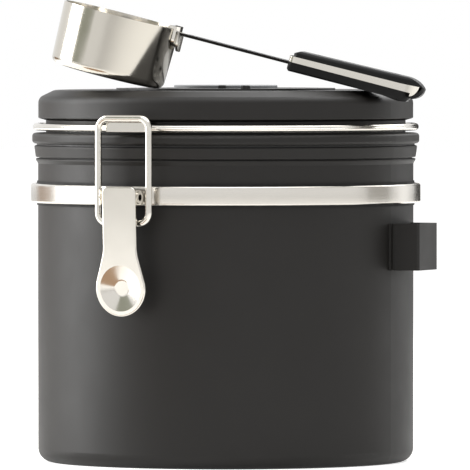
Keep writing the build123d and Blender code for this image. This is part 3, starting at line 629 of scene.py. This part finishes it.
@dataclass
class SweptRing:
    """A closed ring of one rounded section, turned about the upright axis. Sizes are in metres."""

    name: str
    inner: float
    outer: float
    low: float
    high: float
    corner: float

    def tree(self, steel: bpy.types.Material) -> bpy.types.NodeTree:
        """Builds the Geometry Nodes tree that sweeps the section round its circle.

        Args:
            steel: the ring's material.

        Returns:
            The tree, with Radius, Height, Depth, Width and Corner as inputs.
        """
        inputs = dict.fromkeys(("Radius", "Height", "Depth", "Width", "Corner"), FLOAT)
        tree, given = start_tree(self.name + "_sweep", inputs)
        path = add_node(
            tree, "GeometryNodeCurvePrimitiveCircle", {"Resolution": RING_STEPS, "Radius": given["Radius"]}
        )
        section = add_node(
            tree,
            "GeometryNodeCurvePrimitiveQuadrilateral",
            {"Width": given["Depth"], "Height": given["Width"]},
        )
        rounded = add_node(
            tree,
            "GeometryNodeFilletCurve",
            {"Curve": section.outputs["Curve"], "Count": CORNER_STEPS, "Radius": given["Corner"]},
            mode="POLY",
        )
        swept = add_node(
            tree,
            "GeometryNodeCurveToMesh",
            {"Curve": path.outputs["Curve"], "Profile Curve": rounded.outputs["Curve"]},
        )
        lift = add_node(tree, "ShaderNodeCombineXYZ", {"Z": given["Height"]})
        placed = add_node(
            tree,
            "GeometryNodeTransform",
            {"Geometry": swept.outputs["Mesh"], "Translation": lift.outputs["Vector"]},
        )
        end_tree(tree, placed.outputs["Geometry"], steel)
        return tree

    def build(self, finish: Finish) -> bpy.types.Object:
        """Sweeps the ring and keeps it as a plain mesh.

        Args:
            finish: the ring's finish.

        Returns:
            The ring.
        """
        values = {
            "Radius": (self.inner + self.outer) / 2,
            "Height": (self.low + self.high) / 2,
            "Depth": self.outer - self.inner,
            "Width": self.high - self.low,
            "Corner": self.corner,
        }
        item = run_tree(self.name, self.tree(finish.ready()), values)
        build = bmesh.new()
        build.from_mesh(item.data)
        fill_mesh(item.data, build, smooth=True)
        log.info("%s swept, %d faces", self.name, len(item.data.polygons))
        return item


@dataclass
class Can(Dressing):
    """The coated can, its steel strap on a black liner that paints the shade above and below it, the hinge
    behind it and the strap loop on its side.
    """

    band_gap: float = 0.05
    band_corner: float = 0.7

    def build(self) -> None:
        """Dresses the can's nodes and sweeps its strap."""
        self.dress(
            {
                "can_shell": BLACK_COAT,
                # painted shade: the black liner shows above and below the strap in place of the shade there
                "band_liner": SHADE_LINER_RUBBER,
                "scoop_loop": BLACK_COAT,
                "rear_hinge_bracket": PRESSED_STEEL,
                "hinge_pin": WIRE_STEEL,
                "band_rivets": PRESSED_STEEL,
            }
        )
        low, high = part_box("neck_band")
        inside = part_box("band_liner")[1][0] + self.band_gap * MM
        band = SweptRing("steel_strap", inside, high[0], low[2], high[2], self.band_corner * MM)
        item = band.build(BAND_STEEL)
        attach(item, "can")
        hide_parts("neck_band")


@dataclass
class Lid(Dressing):
    """The coated lid with its wire ring, catch plate, hinge leaf, plug, seal and valve."""

    def build(self) -> None:
        """Dresses the lid's nodes and sweeps its wire ring."""
        self.dress(
            {
                "lid_shell": BLACK_COAT,
                "lid_inner_pan": PAN_PLASTIC,
                "lid_gasket": SEAL_RUBBER,
                "catch_plate": PRESSED_STEEL,
                "hinge_leaf": PRESSED_STEEL,
                "valve_body": CAP_PLASTIC,
                "valve_cap": CAP_PLASTIC,
                "valve_filter": FILTER_FELT,
                "valve_flap": SEAL_RUBBER,
            }
        )
        low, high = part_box("lid_ring")
        wire = high[2] - low[2]
        item = SweptRing("wire_ring", high[0] - wire, high[0], low[2], high[2], wire / 2).build(WIRE_STEEL)
        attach(item, "lid")
        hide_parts("lid_ring")


@dataclass
class Latch(Dressing):
    """The toggle latch: bracket, hollow pin, lever with its keeper, and the wire bail."""

    def build(self) -> None:
        """Dresses the latch's nodes."""
        self.dress(
            {
                "latch_bracket": PRESSED_STEEL,
                "latch_pivot_pin": PRESSED_STEEL,
                "latch_lever": PRESSED_STEEL,
                "bail_keeper": PRESSED_STEEL,
                "bail_wire": WIRE_STEEL,
            }
        )


@dataclass
class Scoop(Dressing):
    """The steel scoop: cup, tab, thin strip and layered grip."""

    def build(self) -> None:
        """Dresses the scoop's nodes."""
        self.dress(
            {
                "scoop_cup": CUP_STEEL,
                "scoop_bracket": PRESSED_STEEL,
                "scoop_strip": STRIP_STEEL,
                "grip_frame": PRESSED_STEEL,
                "grip_top_pad": GRIP_PLASTIC,
                "grip_bottom_pad": GRIP_PLASTIC,
                "grip_rivets": PRESSED_STEEL,
            }
        )


@dataclass(frozen=True)
class DialRing:
    """The print of one ring of the date dial, in millimetres and degrees."""

    name: str
    body: str
    count: int
    text_radius: float
    text_height: float
    tick_radius: float
    tick_size: tuple[float, float]
    nub_angle: float


DAY_RING = DialRing("day", "day_dial", 31, 33.0, 2.3, 28.4, (1.6, 0.25), -48.8)
MONTH_RING = DialRing("month", "month_dial", 12, 22.0, 2.9, 25.6, (1.2, 0.35), -63.5)


@dataclass
class DateDial(Dressing):
    """Two rings on the lid, numbered 1 to 31 and 1 to 12, with ticks between the numbers."""

    font_size_per_height: float = 1.4
    print_rise: float = 0.02
    nub_height: float = 1.1

    def numbers(self, ring: DialRing, top: float) -> bpy.types.Object:
        """Prints the numbers from 1 up round a ring as one mesh.

        Number 1 starts at the ring's nub.

        Args:
            ring: the ring's print.
            top: height of the ring's face above the base.

        Returns:
            The printed numbers.
        """
        whole = bmesh.new()
        for index in range(ring.count):
            curve = bpy.data.curves.new("digits", "FONT")
            curve.body = str(index + 1)
            curve.size = ring.text_height * self.font_size_per_height * MM
            curve.align_x = "CENTER"
            curve.align_y = "CENTER"
            curve.extrude = self.print_rise * MM
            curve.resolution_u = DIGIT_STEPS
            text = bpy.data.objects.new("digits", curve)
            bpy.context.scene.collection.objects.link(text)
            bpy.context.view_layer.update()
            graph = bpy.context.evaluated_depsgraph_get()
            flat = bpy.data.meshes.new_from_object(text.evaluated_get(graph))
            angle = math.radians(ring.nub_angle + (index + 0.5) * 360 / ring.count)
            place = (
                Matrix.Rotation(angle, 4, "Z")
                @ Matrix.Translation((ring.text_radius * MM, 0, top * MM))
                @ Matrix.Rotation(math.radians(90), 4, "Z")
            )
            flat.transform(place)
            whole.from_mesh(flat)
            bpy.data.objects.remove(text)
            bpy.data.curves.remove(curve)
            bpy.data.meshes.remove(flat)
        return mesh_object(ring.name + "_numbers", whole, smooth=False)

    def tick_tree(self) -> bpy.types.NodeTree:
        """Builds the Geometry Nodes tree that sets flat ticks round a circle.

        Returns:
            The tree, with Count, Radius, Height, Tick Size, Turn and Material as inputs.
        """
        inputs = {
            "Count": "NodeSocketInt",
            "Radius": FLOAT,
            "Height": FLOAT,
            "Tick Size": "NodeSocketVector",
            "Turn": FLOAT,
            "Material": "NodeSocketMaterial",
        }
        tree, given = start_tree("tick_ring", inputs)
        circle = add_node(
            tree, "GeometryNodeMeshCircle", {"Vertices": given["Count"], "Radius": given["Radius"]}
        )
        tick = add_node(tree, "GeometryNodeMeshCube", {"Size": given["Tick Size"]})
        order = add_node(tree, "GeometryNodeInputIndex")
        share = add_node(
            tree, "ShaderNodeMath", {0: order.outputs["Index"], 1: given["Count"]}, operation="DIVIDE"
        )
        angle = add_node(
            tree, "ShaderNodeMath", {0: share.outputs["Value"], 1: 2 * math.pi}, operation="MULTIPLY"
        )
        outward = add_node(tree, "ShaderNodeCombineXYZ", {"Z": angle.outputs["Value"]})
        ring = add_node(
            tree,
            "GeometryNodeInstanceOnPoints",
            {
                "Points": circle.outputs["Mesh"],
                "Instance": tick.outputs["Mesh"],
                "Rotation": outward.outputs["Vector"],
            },
        )
        spin = add_node(tree, "ShaderNodeCombineXYZ", {"Z": given["Turn"]})
        lift = add_node(tree, "ShaderNodeCombineXYZ", {"Z": given["Height"]})
        placed = add_node(
            tree,
            "GeometryNodeTransform",
            {
                "Geometry": ring.outputs["Instances"],
                "Translation": lift.outputs["Vector"],
                "Rotation": spin.outputs["Vector"],
            },
        )
        end_tree(tree, placed.outputs["Geometry"], given["Material"])
        return tree

    def ticks(self, ring: DialRing, tree: bpy.types.NodeTree, top: float) -> bpy.types.Object:
        """Sets the ticks between a ring's numbers.

        Args:
            ring: the ring's print.
            tree: the tree that tick_tree builds.
            top: height of the ring's face above the base.

        Returns:
            The ticks, as one mesh.
        """
        length, width = ring.tick_size
        values = {
            "Count": ring.count,
            "Radius": ring.tick_radius * MM,
            "Height": top * MM,
            "Tick Size": (length * MM, width * MM, 2 * self.print_rise * MM),
            "Turn": math.radians(ring.nub_angle + 180 / ring.count),
            "Material": DIAL_PRINT.ready(),
        }
        return run_tree(ring.name + "_ticks", tree, values)

    def build(self) -> None:
        """Dresses the two rings and adds their print."""
        self.dress({"day_dial": DIAL_PLASTIC, "month_dial": DIAL_PLASTIC})
        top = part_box("day_dial")[1][2] / MM - self.nub_height
        for ring in (DAY_RING, MONTH_RING):
            item = self.numbers(ring, top)
            item.data.materials.append(DIAL_PRINT.ready())
            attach(item, ring.body)
            log.info("%s: %d numbers", item.name, ring.count)
        tree = self.tick_tree()
        for ring in (DAY_RING, MONTH_RING):
            item = self.ticks(ring, tree, top)
            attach(item, ring.body)
            log.info("%s: %d ticks", item.name, ring.count)


# Studio


@dataclass(frozen=True)
class Softbox:
    """One area lamp, placed by its bearing from the camera's side of the object, in metres."""

    name: str
    bearing: float
    distance: float
    height: float
    size: tuple[float, float]
    radiance: float


@dataclass(frozen=True)
class Card:
    """One upright card outside the picture that shows only in the object's gloss, in metres.

    Its glow is how strongly its tint shines.
    """

    name: str
    tint: str
    bearing: float
    distance: float
    width: float
    low: float
    high: float
    glow: float = 1.0


@dataclass
class Studio:
    """White floor and surround, soft lamps, cards, a disc and the camera.

    The camera stands three metres off at the photograph's height, with a long lens. Bearings are
    degrees round the object from the camera, positive towards the right of the picture. The lamps
    face the middle, and the disc lies where the lever mirrors it. Lengths are millimetres, but the
    camera's two clip distances and the floor's half width are metres.
    """

    azimuth: float = 29.4
    distance: float = 3000.0
    height: float = 145.6
    scale_px: float = 9171.0
    picture_px: float = 470.0
    axis_px: float = 225.75
    horizon_px: float = 16.0
    sensor_mm: float = 36.0
    clip_near: float = 0.1
    clip_far: float = 50.0
    middle: float = 70.0
    floor_half: float = 6.0
    floor_tint: str = "#efeeeb"
    floor_glow: float = 0.72
    floor_mirrored: float = 0.35
    surround_seen: float = 1.0
    surround_fill: float = 0.45
    latch_y: float = -67.5
    disc_bearing: float = -45.0
    disc_reach: float = 210.0
    disc_radius: float = 105.0
    disc_lift: float = 1.0

    def bearing(self, degrees: float) -> Vector:
        """Gives the level unit direction at a bearing from the camera."""
        turn = math.radians(self.azimuth + degrees)
        return Vector((math.sin(turn), -math.cos(turn), 0))

    def camera(self) -> None:
        """Makes the camera that frames the object as the photograph does."""
        data = bpy.data.cameras.new("photo_camera")
        data.sensor_width = self.sensor_mm
        data.lens = self.sensor_mm * self.scale_px / self.picture_px
        data.clip_start = self.clip_near
        data.clip_end = self.clip_far
        item = bpy.data.objects.new("photo_camera", data)
        bpy.context.scene.collection.objects.link(item)
        place = self.bearing(0) * self.distance * MM + Vector((0, 0, self.height * MM))
        half = self.picture_px / 2
        sideways = (half - self.axis_px) * self.distance / self.scale_px
        drop = (half - self.horizon_px) * self.distance / self.scale_px
        aim = self.bearing(90) * sideways * MM + Vector((0, 0, (self.height - drop) * MM))
        item.matrix_world = facing(place, aim)
        bpy.context.scene.camera = item

    def lamp(self, box: Softbox) -> None:
        """Makes one softbox that faces the middle of the object.

        Args:
            box: the lamp's place, size and brightness.
        """
        data = bpy.data.lights.new(box.name, "AREA")
        data.shape = "RECTANGLE"
        data.size, data.size_y = box.size
        data.energy = box.radiance * math.pi * box.size[0] * box.size[1]
        item = bpy.data.objects.new(box.name, data)
        bpy.context.scene.collection.objects.link(item)
        place = self.bearing(box.bearing) * box.distance + Vector((0, 0, box.height))
        item.matrix_world = facing(place, Vector((0, 0, self.middle * MM)))
        item.visible_camera = False

    def glossy_only(self, item: bpy.types.Object, tint: str, level: float = 1.0) -> None:
        """Makes a staged surface glow evenly and show in reflections alone.

        Args:
            item: the card or disc.
            tint: the colour that a perfect mirror would show.
            level: the strength of the glow.
        """
        material = bpy.data.materials.new(item.name + "_paper")
        tree = cleared_tree(material)
        glow = add_node(tree, "ShaderNodeEmission", {"Color": colour(tint), "Strength": level})
        add_node(tree, "ShaderNodeOutputMaterial", {"Surface": glow.outputs["Emission"]})
        item.data.materials.append(material)
        for ray in ("camera", "diffuse", "shadow", "transmission", "volume_scatter"):
            setattr(item, "visible_" + ray, False)

    def card(self, sheet: Card) -> None:
        """Stands one card on its bearing, facing the object.

        Args:
            sheet: the card's place, size and colour.
        """
        middle = self.bearing(sheet.bearing) * sheet.distance
        side = self.bearing(sheet.bearing + 90) * sheet.width / 2
        build = bmesh.new()
        points = [
            build.verts.new(middle + side * way + Vector((0, 0, height)))
            for way, height in ((-1, sheet.low), (1, sheet.low), (1, sheet.high), (-1, sheet.high))
        ]
        build.faces.new(points)
        self.glossy_only(mesh_object(sheet.name, build, smooth=False), sheet.tint, sheet.glow)

    def disc(self, name: str, tint: str, centre: Vector, radius: float) -> None:
        """Lays one round sheet just over the floor.

        Args:
            name: the piece's name.
            tint: its colour in a mirror.
            centre: its centre, in metres.
            radius: its radius, in metres.
        """
        build = bmesh.new()
        bmesh.ops.create_circle(
            build, cap_ends=True, segments=DISC_STEPS, radius=radius, matrix=Matrix.Translation(centre)
        )
        self.glossy_only(mesh_object(name, build, smooth=False), tint)

    def world(self, seen: float, fill: float) -> None:
        """Makes a white surround that the eye and the metal see brighter than matt surfaces do.

        Args:
            seen: strength for camera, glossy and transmission rays.
            fill: strength for the light that falls on matt surfaces.
        """
        surround = bpy.data.worlds.new("white_surround")
        bpy.context.scene.world = surround
        tree = cleared_tree(surround)
        extra = seen_level(tree, seen - fill, seen - fill)
        level = add_node(tree, "ShaderNodeMath", {0: extra, 1: fill}, operation="ADD")
        glow = add_node(
            tree, "ShaderNodeBackground", {"Color": (1, 1, 1, 1), "Strength": level.outputs["Value"]}
        )
        add_node(tree, "ShaderNodeOutputWorld", {"Surface": glow.outputs["Background"]})

    def floor(self) -> None:
        """Lays a wide white floor that keeps the object's shadow."""
        build = bmesh.new()
        bmesh.ops.create_grid(build, x_segments=1, y_segments=1, size=self.floor_half)
        item = mesh_object("floor", build, smooth=False)
        material = bpy.data.materials.new("white_paper_sweep")
        tree = cleared_tree(material)
        matt = add_node(tree, "ShaderNodeBsdfDiffuse", {"Color": colour(self.floor_tint)})
        level = seen_level(tree, self.floor_glow, self.floor_mirrored)
        glow = add_node(tree, "ShaderNodeEmission", {"Color": (1, 1, 1, 1), "Strength": level})
        both = add_node(
            tree, "ShaderNodeAddShader", {0: matt.outputs["BSDF"], 1: glow.outputs["Emission"]}
        )
        add_node(tree, "ShaderNodeOutputMaterial", {"Surface": both.outputs["Shader"]})
        item.data.materials.append(material)

    def build(self) -> None:
        """Sets the view transform, the camera, the floor, the surround, the lamps and the cards."""
        bpy.context.scene.view_settings.view_transform = "Standard"
        self.camera()
        self.floor()
        self.world(self.surround_seen, self.surround_fill)
        for box in (
            Softbox("left_softbox", -96, 0.75, 0.3, (0.4, 0.9), 8.6),
            Softbox("top_softbox", 30, 0.25, 0.95, (0.9, 0.7), 2.2),
            Softbox("back_softbox", 148, 0.7, 0.8, (1.0, 0.8), 2.4),
        ):
            self.lamp(box)
        for sheet in (
            Card("olive_card", "#a6a99c", -65.5, 0.9, 0.41, 0.22, 1.1),
            Card("grey_card", "#b3b1ad", 100, 0.9, 0.36, 0.0, 0.8),
            Card("warm_card", "#a68d78", -133, 0.9, 0.36, 0.0, 0.15),
            Card("bright_card", "#ffffff", 127, 0.9, 0.24, 0.0, 0.3, 1.3),
            Card("pale_card", "#dad9d6", 55, 0.9, 0.6, 0.3, 0.9),
            Card("black_card", "#2c2b29", 164, 0.9, 0.6, 0.0, 0.3),
        ):
            self.card(sheet)
        under_latch = Vector((0, self.latch_y * MM, self.disc_lift * MM))
        mirrored_spot = under_latch + self.bearing(self.disc_bearing) * (self.disc_reach * MM)
        self.disc("brown_disc", "#c9a88a", mirrored_spot, self.disc_radius * MM)


def main() -> None:
    """Loads the frame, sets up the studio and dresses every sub-assembly."""
    logging.basicConfig(level=logging.INFO, format="%(name)s: %(message)s")
    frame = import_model()
    Studio().build()
    for part in (Can(frame), Lid(frame), Latch(frame), Scoop(frame), DateDial(frame)):
        part.build()


if __name__ == "__main__":
    main()
